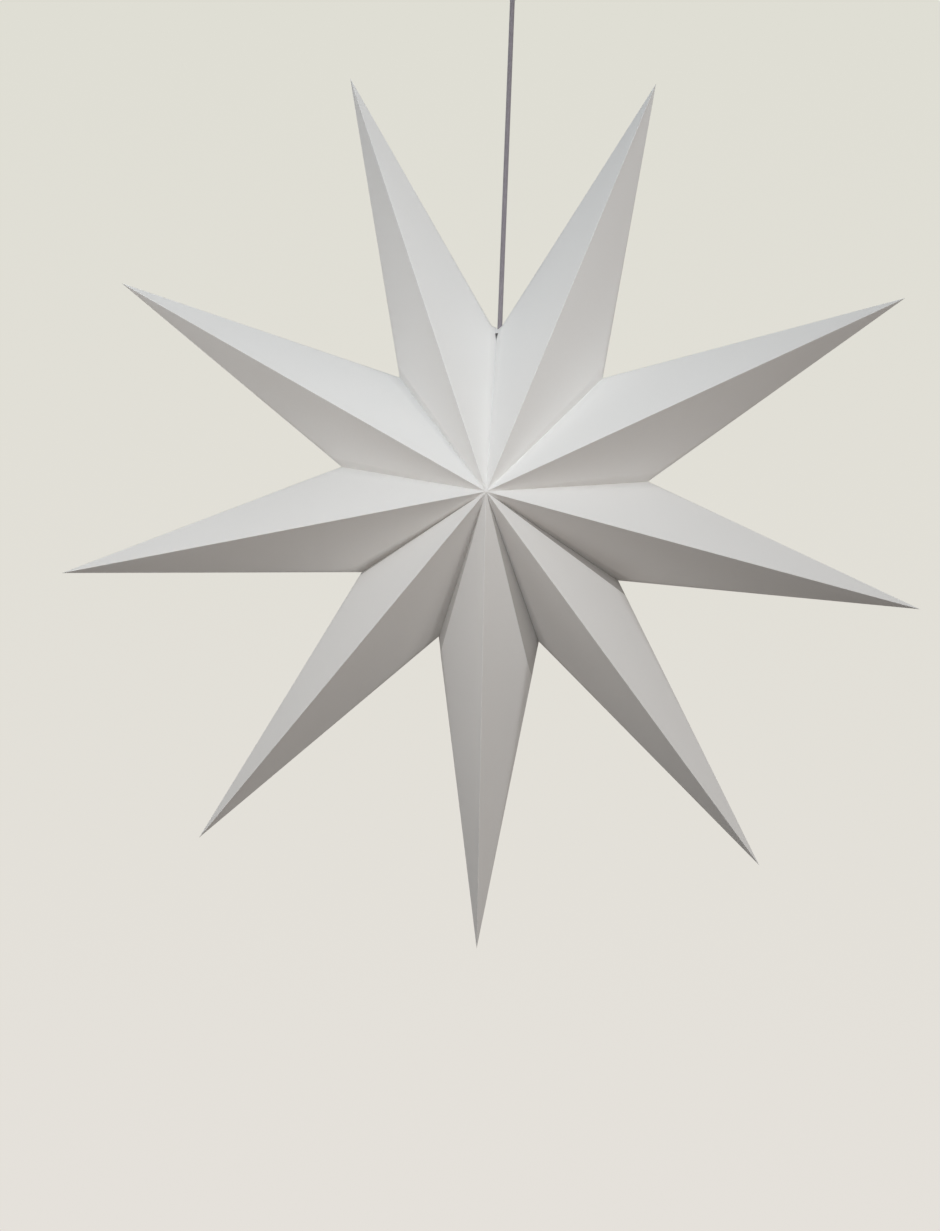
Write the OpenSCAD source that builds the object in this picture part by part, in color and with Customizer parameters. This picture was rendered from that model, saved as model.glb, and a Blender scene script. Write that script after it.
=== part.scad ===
// Paper advent star hanging on a lamp cord from a ceiling cup, in millimetres.
// The origin is the middle of the crossbar's face against the ceiling, +Z is up and the star faces -Y.
// The star is nine folded paper points, glued flap to flap in planes through the axis that joins
// the front and the back apex. The first and the last point are clipped together at the top,
// where their corners are cut for the cord, and rest on the dome of the lampholder inside.

/* [Star] */
// Number of folded points
points = 9; // [7:1:11]
// Centre of the star to the tip of an even point
tip_r = 508; // [420:1:620]
// Centre of the star to an even notch between two points
notch_r = 175; // [160:1:220]
// Middle plane to the front apex, and to the back apex
half_depth = 125; // [110:1:160]
// Thickness of the paper
sheet_t = 0.5; // [0.3:0.1:1]
// Width of the glue flaps along the valleys
flap_w = 10; // [6:1:16]
// Depth that a side crease gains for each millimetre from its notch
crease_slope = 0.4; // [0.1:0.05:0.6]
// Ceiling to the centre of the star
star_drop = 660; // [600:5:2000]

/* [Seam at the top] */
// Radius of the hole for the cord in the two end points
cord_hole_r = 3.3; // [3.2:0.1:6]
// Length of the slit that stays open below the hole
slit_l = 10; // [5:1:25]
// Width of the slit at the notch
slit_w = 3.5; // [1:0.5:8]
// Length of a clip along the flaps
clip_l = 14; // [6:1:30]
// Thickness of the clip's sheet
clip_t = 0.6; // [0.3:0.1:1]
// Distance from the star's centre to the nearer clips, along the middle plane
clip_near = 45; // [30:1:60]
// Distance from the nearer clips to the farther clips
clip_step = 35; // [20:1:40]

/* [Lampholder] */
// Outer radius of the cap's dome and of the body
holder_r = 19; // [17:0.5:21]
// Wall of the cap and the body
holder_wall = 2; // [1.5:0.1:2.5]
// Length of the cap's straight skirt
skirt_l = 8; // [6:0.5:14]
// Length of the body below the skirt
body_l = 40; // [34:1:50]
// Inner radius of the screw sleeve
sleeve_r = 13.5; // [13.4:0.1:13.8]
// Thickness of the screw sleeve
sleeve_t = 0.4; // [0.3:0.1:0.5]
// Height of the contact block
block_h = 10; // [8:0.5:12]
// Height of the cord grip above the dome
grip_up = 9; // [6:0.5:9]

/* [Bulb] */
// Radius of the bulb's globe
bulb_r = 30; // [22:0.5:32]
// Length of the bulb over all
bulb_l = 105; // [90:1:120]
// Radius of the bulb's screw cap
bulb_cap_r = 13.2; // [13:0.1:13.3]

/* [Cord] */
// Radius of the textile covered cord
cord_r = 2.75; // [2.5:0.05:3]

/* [Ceiling fitting] */
// Radius of the ceiling cup
cup_r = 50; // [45:1:70]
// Height of the ceiling cup
cup_h = 60; // [50:1:80]
// Wall of the ceiling cup
cup_wall = 1.2; // [0.8:0.1:2]
// Radius of the cup's rounded lower edge
cup_corner = 14; // [6:1:20]
// Width of the crossbar
bar_w = 20; // [16:1:30]
// Thickness of the crossbar
bar_t = 2; // [1.5:0.1:3]
// Distance between the two ceiling screw holes
hole_pitch = 60; // [40:1:70]
// Radius of a ceiling screw hole
hole_r = 2.25; // [2:0.05:3]
// Depth of the cup's side screws below the ceiling
side_screw_z = 14; // [12:1:20]
// Radius of a side screw's shank
side_screw_r = 1.9; // [1.5:0.1:2.4]
// Length of the cord grip below the cup
cup_grip_l = 26; // [20:1:32]

/* [Hidden] */
// Running gap between pieces that slide or screw into each other
fit_gap = 0.2;
// Gap left between a round piece and its seat
seat_gap = 0.3;
// Roundness of turned pieces
$fn = 64;

// How far each hand-glued tip is turned from its even place, in degrees, and how much longer it is
tip_turn = [0.8, -1.9, -2.4, -1.8, 0.1, 1.0, 1.5, 1.7, 0.9];
tip_extra = [1, 9, -12, 2, 1, 4, -3, -9, 6];
// The same for the notches, starting at the seam at the top and going round with the points
notch_turn = [0.9, 0.1, -1.2, -0.7, 0.1, 0.4, 0.7, -0.5, -0.6];
notch_extra = [10, 11, 2, -6, -6, -8, -4, 3, 2];
// How far beyond its notch each point's side crease starts, before and after the point
crease_before = [14, 14, 16, 20, 39, 16, 16, 16, 14];
crease_after = [14, 16, 16, 16, 22, 16, 17, 16, 14];
// How much steeper each point's side creases are: the lowest point is folded deeper
crease_steeper = [0, 0, 0, 0, 0.25, 0, 0, 0, 0];

star_z = -star_drop;
point_step = 360 / points;

// The two valleys at the top seam, and the dome that nests under them
top_notch_r = notch_r + notch_extra[0];
valley_angle = atan(half_depth / top_notch_r);
paper_wall = 1.2 * sheet_t;
dome_z = star_z + top_notch_r - (holder_r + seat_gap + paper_wall) / sin(valley_angle);

// Heights in the lampholder
skirt_z = dome_z - skirt_l;
body_z = skirt_z - body_l;
spigot_l = 5;
shelf_t = 2;
block_z = skirt_z - 12;
shelf_z = block_z - shelf_t;
contact_l = shelf_t + 2;
bulb_top_z = block_z - contact_l;
block_r = holder_r - 2 * holder_wall - 2 * fit_gap;
contact_r = 4;
shelf_hole_r = 11;
sleeve_hole_r = 8;

// Cord grip of the lampholder
bore_r = cord_r + seat_gap;
grip_wall = 0.6;
grip_tip_r = bore_r + grip_wall;
grip_neck_r = bore_r + 2 * grip_wall;
grip_flange_r = grip_neck_r + 2.5;
grip_flange_h = 4;
dome_inner_r = holder_r - holder_wall;
grip_seat_z = dome_z + sqrt(pow(dome_inner_r, 2) - pow(grip_flange_r, 2)) - seat_gap;
grip_top_z = dome_z + holder_r + grip_up;

// Ceiling fitting
bar_half_l = cup_r - cup_wall - 1.8;
ear_t = bar_t;
ear_h = side_screw_z + 8;
terminal_size = [24, 16, 14];
terminal_z = -bar_t - terminal_size[2];
cup_hole_r = bore_r + 2.4;
gland_r = cup_hole_r - fit_gap;
nut_h = 5;
gland_top_z = -cup_h + cup_wall + nut_h + 2;
screw_head_r = 3.6;
screw_head_h = 2.4;

// The cord hangs straight between the contact block and the terminal block
cord_route = [[0, 0, block_z + block_h], [0, 0, terminal_z]];
cord_sides = 12;
cord_rings = 40;

// Places in the star

function seam_angle(k) = 90 - k * point_step + notch_turn[(k % points) % len(notch_turn)];
function tip_angle(k) = 90 - (k - 0.5) * point_step + tip_turn[(k - 1) % len(tip_turn)];
function seam_r(k) = notch_r + notch_extra[(k % points) % len(notch_extra)];
function in_star(angle, radius, depth) =
    [radius * cos(angle), depth, star_z + radius * sin(angle)];
function notch(k) = in_star(seam_angle(k), seam_r(k), 0);
function tip(k) = in_star(tip_angle(k), tip_r + tip_extra[(k - 1) % len(tip_extra)], 0);
function apex(side) = in_star(0, 0, side * half_depth);

// The start of a side crease: run away from the notch towards the tip, on one side of the middle plane
function crease(from_notch, to_tip, run, slope, side) =
    from_notch + run * (to_tip - from_notch) / norm(to_tip - from_notch)
    + [0, side * run * slope, 0];

// The corners of one folded point: tip, both apexes, both notches and the four crease ends
function ray_corners(k) = let(
    before = notch(k - 1),
    after = notch(k),
    end = tip(k),
    run_before = crease_before[(k - 1) % len(crease_before)],
    run_after = crease_after[(k - 1) % len(crease_after)],
    slope = crease_slope + crease_steeper[(k - 1) % len(crease_steeper)]
) [
    end, apex(-1), apex(1), before, after,
    crease(before, end, run_before, slope, -1), crease(before, end, run_before, slope, 1),
    crease(after, end, run_after, slope, -1), crease(after, end, run_after, slope, 1)
];

ray_facets = [
    [0, 1, 5], [0, 7, 1], [1, 3, 5], [1, 7, 4],
    [0, 5, 6], [5, 3, 6], [0, 8, 7], [7, 8, 4],
    [0, 6, 2], [0, 2, 8], [2, 6, 3], [2, 4, 8],
    [1, 2, 3], [1, 4, 2]
];

// The middle of a point's mouth, and the distance from there to the plane of a facet
function mouth(corners) = (corners[3] + corners[4]) / 2;
function facet_distance(corners, facet) = let(
    a = corners[facet[0]],
    normal = cross(corners[facet[1]] - a, corners[facet[2]] - a)
) abs(normal * (mouth(corners) - a)) / norm(normal);

// How much smaller the inside of a point is than its outside, for paper of the right thickness
function inside_scale(corners) = 1 - sheet_t
    / min(facet_distance(corners, ray_facets[0]), facet_distance(corners, ray_facets[1]));
function inside_corners(corners) = let(
    middle = mouth(corners),
    size = inside_scale(corners)
) [for (c = corners) middle + size * (c - middle)];

// Puts flat work into the plane of a seam: X outwards from the star's axis, Y along the depth
module in_seam(k) {
    translate([0, 0, star_z]) rotate([0, -seam_angle(k), 0]) children();
}

// The window that the glue flaps of a seam leave open towards the next point
module window(k) {
    valley = norm([seam_r(k), half_depth]);
    inner_notch = seam_r(k) - flap_w * valley / half_depth;
    inner_apex = half_depth - flap_w * valley / seam_r(k);
    past_axis = -flap_w;
    in_seam(k) linear_extrude(4 * sheet_t, center = true) polygon([
        [inner_notch, 0], [0, inner_apex], [past_axis, inner_apex],
        [past_axis, -inner_apex], [0, -inner_apex]
    ]);
}

// What the two end points lose at the top: the cord's hole, the slit and room for the lampholder
module top_cut() {
    room = holder_r + seat_gap / 2;
    slot = grip_neck_r + seat_gap;
    dome_from_axis = dome_z - star_z;
    slit_start = top_notch_r - slit_l;
    past_notch = 2 * slit_w;
    slope = slit_w / 2 / slit_l;
    translate([0, 0, dome_z]) cylinder(r = cord_hole_r, h = 4 * holder_r);
    in_seam(0) rotate([90, 0, 0]) linear_extrude(holder_r) polygon([
        [slit_start, 0],
        [top_notch_r + past_notch, (slit_l + past_notch) * slope],
        [top_notch_r + past_notch, -(slit_l + past_notch) * slope]
    ]);
    in_seam(0) linear_extrude(4 * sheet_t, center = true) {
        translate([dome_from_axis, 0]) circle(room);
        translate([dome_from_axis - 2 * holder_r, -room]) square([2 * holder_r, 2 * room]);
        translate([dome_from_axis, -slot]) square([3 * holder_r, 2 * slot]);
    }
}

// One point: a folded sheet, open towards the star's middle, with flaps in both seam planes
module ray(k) {
    corners = ray_corners(k);
    color("whitesmoke") difference() {
        polyhedron(corners, ray_facets);
        polyhedron(inside_corners(corners), ray_facets);
        window(k - 1);
        window(k);
        if (k == 1 || k == points) top_cut();
    }
}

// One clip: a folded spring strip over the pair of flaps at the top seam
module seam_clip(from_axis, side) {
    gap = 2 * sheet_t + 2 * seat_gap;
    leg = flap_w * 0.8;
    valley = norm([top_notch_r, half_depth]);
    edge = half_depth * (1 - from_axis / top_notch_r) - flap_w * valley / top_notch_r;
    in_seam(0) translate([from_axis, side * edge, 0])
        rotate([0, 0, -side * valley_angle])
        translate([0, -side * seat_gap, 0]) scale([1, side, 1])
        rotate([0, 90, 0]) linear_extrude(clip_l, center = true) polygon([
            [-gap / 2 - clip_t, -clip_t], [gap / 2 + clip_t, -clip_t],
            [gap / 2 + clip_t, leg], [gap / 2, leg], [gap / 2, 0],
            [-gap / 2, 0], [-gap / 2, leg], [-gap / 2 - clip_t, leg]
        ]);
}

module seam_clips() {
    color("silver")
        for (from_axis = [clip_near, clip_near + clip_step], side = [-1, 1])
            seam_clip(from_axis, side);
}

// A ring turned about the cord's axis, between two heights
module ring(outer, inner, low, high) {
    translate([0, 0, low]) difference() {
        cylinder(r = outer, h = high - low);
        translate([0, 0, -1]) cylinder(r = inner, h = high - low + 2);
    }
}

module holder_cap() {
    color("white") difference() {
        union() {
            translate([0, 0, skirt_z]) cylinder(r = holder_r, h = skirt_l);
            translate([0, 0, dome_z]) intersection() {
                sphere(r = holder_r);
                cylinder(r = holder_r + 1, h = holder_r + 1);
            }
        }
        translate([0, 0, skirt_z - 1]) cylinder(r = dome_inner_r, h = skirt_l + 1);
        translate([0, 0, dome_z]) sphere(r = dome_inner_r);
        translate([0, 0, dome_z]) cylinder(r = grip_neck_r + fit_gap, h = holder_r + 1);
    }
}

module holder_body() {
    bore = sleeve_r + sleeve_t + fit_gap;
    color("white") union() {
        ring(holder_r, dome_inner_r, block_z - 1, skirt_z);
        ring(dome_inner_r - fit_gap, block_r + fit_gap, block_z - 1, skirt_z + spigot_l);
        ring(holder_r, shelf_hole_r, shelf_z, block_z);
        ring(holder_r, bore, body_z, shelf_z);
    }
}

module contact_block() {
    color("ivory") translate([0, 0, block_z]) cylinder(r = block_r, h = block_h);
}

module centre_contact() {
    color("goldenrod") translate([0, 0, bulb_top_z]) cylinder(r = contact_r, h = contact_l);
}

module screw_sleeve() {
    color("silver") union() {
        ring(sleeve_r + sleeve_t, sleeve_hole_r, shelf_z - sleeve_t, shelf_z);
        ring(sleeve_r + sleeve_t, sleeve_r, body_z + 1, shelf_z);
    }
}

// Strain relief in the cap: a flange under the dome and a tapered neck round the cord
module holder_grip() {
    color("white") rotate_extrude() polygon([
        [bore_r, grip_seat_z - grip_flange_h],
        [grip_flange_r, grip_seat_z - grip_flange_h],
        [grip_flange_r, grip_seat_z],
        [grip_neck_r, grip_seat_z],
        [grip_neck_r, dome_z + holder_r],
        [grip_tip_r, grip_top_z],
        [bore_r, grip_top_z]
    ]);
}

// Radius of the bulb's glass at a share of its neck, from the globe to the screw cap
function neck_r(share, from_r) = bulb_cap_r + (from_r - bulb_cap_r) * pow(1 - share, 1.6);

module bulb() {
    globe_z = bulb_top_z - bulb_l + bulb_r;
    globe_end = 40;
    neck_from = globe_z + bulb_r * sin(globe_end);
    neck_to = body_z - 1;
    tip_cone = 3;
    tip_r_small = 5;
    color("ivory") rotate_extrude() polygon(concat(
        [for (a = [-90 : 6 : globe_end - 4]) [bulb_r * cos(a), globe_z + bulb_r * sin(a)]],
        [for (i = [0 : 8]) let(share = i / 8)
            [neck_r(share, bulb_r * cos(globe_end)), neck_from + share * (neck_to - neck_from)]],
        [[bulb_cap_r, bulb_top_z - tip_cone], [tip_r_small, bulb_top_z], [0, bulb_top_z]]
    ));
}

// The cord's tube: rings of corners along the route, closed at both ends
function along_route(share) = cord_route[0] + share * (cord_route[1] - cord_route[0]);
function cord_ring(share) = let(middle = along_route(share))
    [for (i = [0 : cord_sides - 1]) let(a = 360 * i / cord_sides)
        middle + cord_r * [cos(a), sin(a), 0]];

module cord() {
    corners = [for (r = [0 : cord_rings]) each cord_ring(r / cord_rings)];
    sides = [for (r = [0 : cord_rings - 1], i = [0 : cord_sides - 1]) let(
        next = (i + 1) % cord_sides,
        low = r * cord_sides,
        high = low + cord_sides
    ) [low + i, high + i, high + next, low + next]];
    low_end = [for (i = [0 : cord_sides - 1]) i];
    high_end = [for (i = [cord_sides - 1 : -1 : 0]) cord_rings * cord_sides + i];
    color("gray") polyhedron(corners, concat([low_end], sides, [high_end]));
}

// Half outline of the cup, as a filled shape that reaches the axis
module cup_outline(radius, height, corner) {
    translate([0, corner - height]) square([radius, height - corner]);
    translate([0, -height]) square([radius - corner, height]);
    translate([radius - corner, corner - height]) intersection() {
        circle(corner);
        translate([0, -corner]) square(corner);
    }
}

module ceiling_cup() {
    screw_hole_r = side_screw_r + seat_gap;
    color("white") difference() {
        rotate_extrude() difference() {
            cup_outline(cup_r, cup_h, cup_corner);
            cup_outline(cup_r - cup_wall, cup_h - cup_wall, cup_corner - cup_wall);
        }
        translate([0, 0, -cup_h - 1]) cylinder(r = cup_hole_r, h = cup_wall + 2);
        translate([0, 0, -side_screw_z]) rotate([0, 90, 0])
            cylinder(r = screw_hole_r, h = 2 * cup_r + 2, center = true);
    }
}

// A steel strip with both ends turned down for the cup's side screws
module crossbar() {
    color("silver") difference() {
        union() {
            translate([-bar_half_l, -bar_w / 2, -bar_t]) cube([2 * bar_half_l, bar_w, bar_t]);
            for (x = [-bar_half_l, bar_half_l - ear_t])
                translate([x, -bar_w / 2, -ear_h]) cube([ear_t, bar_w, ear_h]);
        }
        for (x = [-hole_pitch / 2, hole_pitch / 2])
            translate([x, 0, -bar_t - 1]) cylinder(r = hole_r, h = bar_t + 2);
        translate([0, 0, -side_screw_z]) rotate([0, 90, 0])
            cylinder(r = side_screw_r + fit_gap, h = 2 * cup_r, center = true);
    }
}

module side_screws() {
    shank_from = bar_half_l - ear_t - 1;
    color("silver") for (turn = [0, 180])
        rotate([0, 0, turn]) translate([0, 0, -side_screw_z]) rotate([0, 90, 0]) {
            translate([0, 0, shank_from]) cylinder(r = side_screw_r, h = cup_r + seat_gap - shank_from);
            translate([0, 0, cup_r + seat_gap]) cylinder(r = screw_head_r, h = screw_head_h);
        }
}

// The gland that holds the cord in the cup's base, tapered below like a strain relief
module cup_grip() {
    flange_h = 4;
    flange_r = cup_hole_r + 4;
    color("white") rotate_extrude() polygon([
        [bore_r, -cup_h - cup_grip_l],
        [grip_tip_r + 0.6, -cup_h - cup_grip_l],
        [cup_hole_r + 1, -cup_h - flange_h],
        [flange_r, -cup_h - flange_h],
        [flange_r, -cup_h],
        [gland_r, -cup_h],
        [gland_r, gland_top_z],
        [bore_r, gland_top_z]
    ]);
}

module grip_nut() {
    color("silver") translate([0, 0, -cup_h + cup_wall]) difference() {
        cylinder(r = cup_hole_r + 4, h = nut_h, $fn = 6);
        translate([0, 0, -1]) cylinder(r = gland_r + fit_gap, h = nut_h + 2);
    }
}

module terminal_block() {
    color("ivory") translate([-terminal_size[0] / 2, -terminal_size[1] / 2, terminal_z])
        cube(terminal_size);
}

for (k = [1 : points])
    ray(k);
seam_clips();
holder_cap();
holder_body();
contact_block();
centre_contact();
screw_sleeve();
holder_grip();
bulb();
cord();
ceiling_cup();
crossbar();
side_screws();
cup_grip();
grip_nut();
terminal_block();
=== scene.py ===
"""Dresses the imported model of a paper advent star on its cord, with nine folded points and a ceiling cup.

It is laid out as an add-on and run as a script: each operator makes one piece or one group of like pieces.
All lengths are in metres, +Z is up, the ceiling is at height zero and the star faces -Y.
"""

import math
from typing import NamedTuple

import bmesh
import bpy
from bpy.props import FloatProperty, FloatVectorProperty, IntProperty, PointerProperty
from mathutils import Matrix, Vector


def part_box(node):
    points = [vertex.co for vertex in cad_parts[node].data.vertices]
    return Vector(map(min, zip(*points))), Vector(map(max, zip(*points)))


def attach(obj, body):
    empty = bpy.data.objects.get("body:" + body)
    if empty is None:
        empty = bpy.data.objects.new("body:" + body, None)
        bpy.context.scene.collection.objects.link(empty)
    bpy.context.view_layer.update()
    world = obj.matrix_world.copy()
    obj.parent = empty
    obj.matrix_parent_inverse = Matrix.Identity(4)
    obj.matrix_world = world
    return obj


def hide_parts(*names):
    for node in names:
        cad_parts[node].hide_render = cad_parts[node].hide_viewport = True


bl_info = {
    "name": "Paper advent star",
    "version": (1, 0, 0),
    "blender": (4, 5, 0),
    "location": "3D View > Sidebar > Advent star",
    "description": "Folded paper star with lampholder, cord and ceiling cup",
    "category": "Object",
}

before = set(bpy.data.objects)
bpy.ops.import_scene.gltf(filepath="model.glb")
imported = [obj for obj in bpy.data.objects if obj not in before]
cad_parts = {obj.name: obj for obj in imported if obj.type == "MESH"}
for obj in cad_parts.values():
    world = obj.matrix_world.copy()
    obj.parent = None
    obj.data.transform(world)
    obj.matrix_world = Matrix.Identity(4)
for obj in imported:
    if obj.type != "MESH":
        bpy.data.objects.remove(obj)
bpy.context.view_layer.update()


# Sizes and colours that a user would change

def length(name, description, default):
    """A length in metres."""
    return FloatProperty(name=name, description=description, default=default, unit="LENGTH")


def by_point(name, description, default):
    """One number for each of the nine points."""
    return FloatVectorProperty(name=name, description=description, default=default, size=9)


def colour(name, description, default):
    """An opaque colour."""
    return FloatVectorProperty(name=name, description=description, default=(*default, 1), size=4,
                               subtype="COLOR")


class StarSizes(bpy.types.PropertyGroup):
    """Sizes of the folded paper star"""

    points: IntProperty(name="Points", description="Number of folded points", default=9, min=7, max=9)
    centre_height: length("Height", "Height of the star's centre", -0.66)
    tip_radius: length("Tip radius", "Centre of the star to an even tip", 0.508)
    notch_radius: length("Notch radius", "Centre of the star to an even notch", 0.175)
    half_depth: length("Half depth", "Middle plane to the front apex", 0.125)
    sheet: length("Paper", "Thickness of the paper", 0.0005)
    flap: length("Flap width", "Width of the glue flaps", 0.010)
    cord_hole: length("Cord hole", "Radius of the hole for the cord", 0.00285)
    slit_length: length("Slit length", "Length of the open seam below the cord", 0.0075)
    slit_width: length("Slit width", "Width of the open seam at its top", 0.0027)
    seam_rise: length("Seam rise", "Height that the paper climbs at the end of the top seam", 0.0075)
    fold: length("Fold width", "Width of paper that a ridge bends over", 0.0007)
    wave: length("Wave", "Height of the paper's gentle waves", 0.0006)
    tip_turn: by_point(
        "Tip turns", "Degrees that each hand-glued tip is turned from its even place",
        (0.8, -1.9, -2.4, -1.8, 0.1, 1.0, 1.5, 1.7, 0.9))
    tip_extra: by_point(
        "Tip lengths", "Millimetres that each tip is longer than an even one",
        (1, 9, -12, 2, 1, 4, -3, -9, 6))
    notch_turn: by_point(
        "Notch turns", "Degrees that each seam is turned from its even place",
        (0.9, 0.1, -1.2, -0.7, 0.1, 0.4, 0.7, -0.5, -0.6))
    notch_extra: by_point(
        "Notch lengths", "Millimetres that each notch is farther out than an even one",
        (14, 11, 2, -6, -6, -8, -4, 3, 2))
    crease_before: by_point(
        "Creases before", "Millimetres from the notch before a point to its side crease",
        (12, 14, 16, 20, 39, 16, 16, 16, 14))
    crease_after: by_point(
        "Creases after", "Millimetres from the notch after a point to its side crease",
        (14, 16, 16, 16, 22, 6, 17, 16, 12))
    slope_before: by_point(
        "Slopes before", "Depth that the side crease before each point gains along its run",
        (0.8, 0.4, 0.4, 1.5, 0.9, 0.4, 0.4, 0.4, 0.4))
    slope_after: by_point(
        "Slopes after", "Depth that the side crease after each point gains along its run",
        (0.4, 0.4, 0.4, 0.4, 0.85, 1.2, 0.4, 0.4, 0.6))
    # Painted shade: how far the strip beside each hard crease is greyed, to stand in for the shadow in its
    # deep valley.
    painted_shade_before: by_point(
        "Painted shade before", "How grey the strip before each point is, where its crease is folded hard",
        (0, 0, 0, 0.85, 0.5, 0, 0, 0, 0))
    painted_shade_after: by_point(
        "Painted shade after", "How grey the strip after each point is, where its crease is folded hard",
        (0, 0, 0, 0, 0.4, 0.7, 0, 0, 0))


class FittingSizes(bpy.types.PropertyGroup):
    """Sizes of the lampholder, the bulb, the cord and the ceiling fitting"""

    cord_radius: length("Cord radius", "Radius of the textile cord", 0.00275)
    cord_low: length("Cord end", "Height at which the cord ends in the lampholder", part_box("cord")[0].z)
    cord_high: length("Cord start", "Height at which the cord ends in the ceiling cup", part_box("cord")[1].z)
    dome_radius: length("Dome radius", "Outer radius of the lampholder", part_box("holder_cap")[1].x)
    wall: length("Wall", "Wall of the lampholder's cap and body", 0.002)
    skirt: length("Skirt", "Straight part of the lampholder's cap", 0.008)
    bulb_radius: length("Bulb radius", "Radius of the bulb's globe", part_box("bulb")[1].x)
    screw_radius: length("Screw cap radius", "Radius of the bulb's screw cap", 0.0132)
    pitch: length("Thread pitch", "Distance between two turns of the lamp thread", 0.0036)
    bore: length("Bore", "Radius of the bores that the cord runs through", 0.00305)
    cup_radius: length("Cup radius", "Radius of the ceiling cup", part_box("ceiling_cup")[1].x)
    cup_height: length("Cup height", "Height of the ceiling cup", -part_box("ceiling_cup")[0].z)
    cup_wall: length("Cup wall", "Wall of the ceiling cup", 0.0012)
    cup_corner: length("Cup corner", "Radius of the cup's rounded lower edge", 0.014)
    cup_hole: length("Cup hole", "Radius of the hole in the cup's base", 0.00545)
    bracket: length("Crossbar", "Thickness of the crossbar's sheet", 0.002)
    screw_height: length("Side screw height", "Height of the cup's side screws", -0.014)
    turned_steps: IntProperty(
        name="Turned steps", description="Steps round a turned piece", default=96, min=24, max=128)


class StarColours(bpy.types.PropertyGroup):
    """Colours of the finishes and of the backdrop"""

    paper: colour("Paper", "White paper", (0.91, 0.908, 0.90))
    # Painted highlight: the lighter paper along each ridge stands in for the light that its rounded fold
    # catches, and partly for the whitening of the pressed crease.
    painted_ridge_highlight: colour("Painted ridge highlight", "Paper along a ridge", (0.985, 0.985, 0.98))
    # Painted shade: the grey of the strips beside hard creases, in place of the shadow in their valleys.
    painted_strip_shade: colour("Shaded strip", "Paper beside a hard crease", (0.40, 0.385, 0.37))
    cord: colour("Cord", "Textile braid", (0.33, 0.31, 0.34))
    plastic: colour("Plastic", "White moulded plastic", (0.80, 0.79, 0.77))
    rubber: colour("Rubber", "Cord grip in the lampholder", (0.10, 0.098, 0.105))
    nylon: colour("Nylon", "Terminal block", (0.70, 0.67, 0.60))
    ceramic: colour("Ceramic", "Contact block", (0.72, 0.68, 0.60))
    brass: colour("Brass", "Contacts", (0.78, 0.57, 0.27))
    sleeve: colour("Sleeve", "Rolled sheet of the screw sleeve and the bulb's cap", (0.76, 0.76, 0.74))
    zinc: colour("Zinc", "Coat of the steel pieces", (0.62, 0.63, 0.65))
    glass: colour("Opal glass", "Bulb", (0.85, 0.84, 0.81))
    back_top: colour("Backdrop above", "Backdrop above the star", (0.738, 0.730, 0.658))
    back_low: colour("Backdrop below", "Backdrop below the star", (0.784, 0.753, 0.708))


# Small helpers for meshes

def add_object(name, data):
    """Puts an object into the scene."""
    item = bpy.data.objects.new(name, data)
    bpy.context.scene.collection.objects.link(item)
    return item


def add_mesh(name, bm):
    """Puts the mesh of a bmesh into the scene."""
    mesh = bpy.data.meshes.new(name)
    bm.to_mesh(mesh)
    bm.free()
    return add_object(name, mesh)


def new_object(name, bm, material, nodes):
    """Makes a finished piece from a bmesh: it rides on the one body and stands for its CAD nodes."""
    piece = add_mesh(name, bm)
    piece.data.materials.append(material)
    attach(piece, "root")
    if nodes:
        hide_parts(*nodes)
    return piece


def soften(piece, width):
    """Rounds the edges of a moulded or stamped piece."""
    piece.data.shade_smooth()
    bevel = piece.modifiers.new("Soft edges", "BEVEL")
    bevel.width = width
    bevel.segments = 2
    bevel.limit_method = "ANGLE"
    bevel.angle_limit = math.radians(32)
    bevel.harden_normals = True


def turn_profile(bm, profile, steps, closed=True):
    """Spins a profile of radius and height round the cord's axis."""
    verts = [bm.verts.new((radius, 0, height)) for radius, height in profile]
    pairs = list(zip(verts, verts[1:]))
    if closed:
        pairs.append((verts[-1], verts[0]))
    edges = [bm.edges.new(pair) for pair in pairs]
    bmesh.ops.spin(bm, geom=verts + edges, cent=(0, 0, 0), axis=(0, 0, 1), angle=math.tau,
                   steps=steps, use_merge=True)
    bmesh.ops.remove_doubles(bm, verts=bm.verts, dist=1e-6)
    bmesh.ops.recalc_face_normals(bm, faces=bm.faces)


def turned_sharp(name, profile, look, nodes, closed=True):
    """A turned piece whose edges are still sharp."""
    bm = bmesh.new()
    turn_profile(bm, profile, bpy.context.scene.star_fitting.turned_steps, closed)
    return new_object(name, bm, finish(look), nodes)


def turned(name, profile, look, nodes, width, closed=True):
    """A turned piece with softened edges."""
    soften(turned_sharp(name, profile, look, nodes, closed), width)


def arc(centre, radius, start, end, steps):
    """Places of radius and height on an arc in degrees."""
    angles = [math.radians(start + (end - start) * i / steps) for i in range(steps + 1)]
    return [(centre[0] + radius * math.cos(a), centre[1] + radius * math.sin(a)) for a in angles]


def thread(radius, low, high, pitch, depth):
    """A rolled thread's outline between two heights: round crests and round roots."""
    steps = 8 * max(1, int((high - low) / pitch))
    return [(radius - depth * (0.5 - 0.5 * math.cos(math.tau * i / 8)), low + (high - low) * i / steps)
            for i in range(steps + 1)]


def groove(radius, low, high):
    """The outline of a shallow groove round a turned piece."""
    depth = 0.0004
    return [(radius, low), (radius - depth, low + depth), (radius - depth, high - depth), (radius, high)]


def ribs(count, first, step, wide, narrow, depth, ends):
    """The outline of a tapered row of ribs; ends are how far on a rib ends, has sunk and meets the next."""
    outline = []
    for i in range(count):
        height = first + step * i
        radius = wide + (narrow - wide) * (i + 0.5) / count
        outline += [(radius, height), (radius, height + ends[0]),
                    (radius - depth, height + ends[1]), (radius - depth, height + ends[2])]
    return outline


def shift(x, y, z):
    """A move to a place."""
    return Matrix.Translation((x, y, z))


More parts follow.
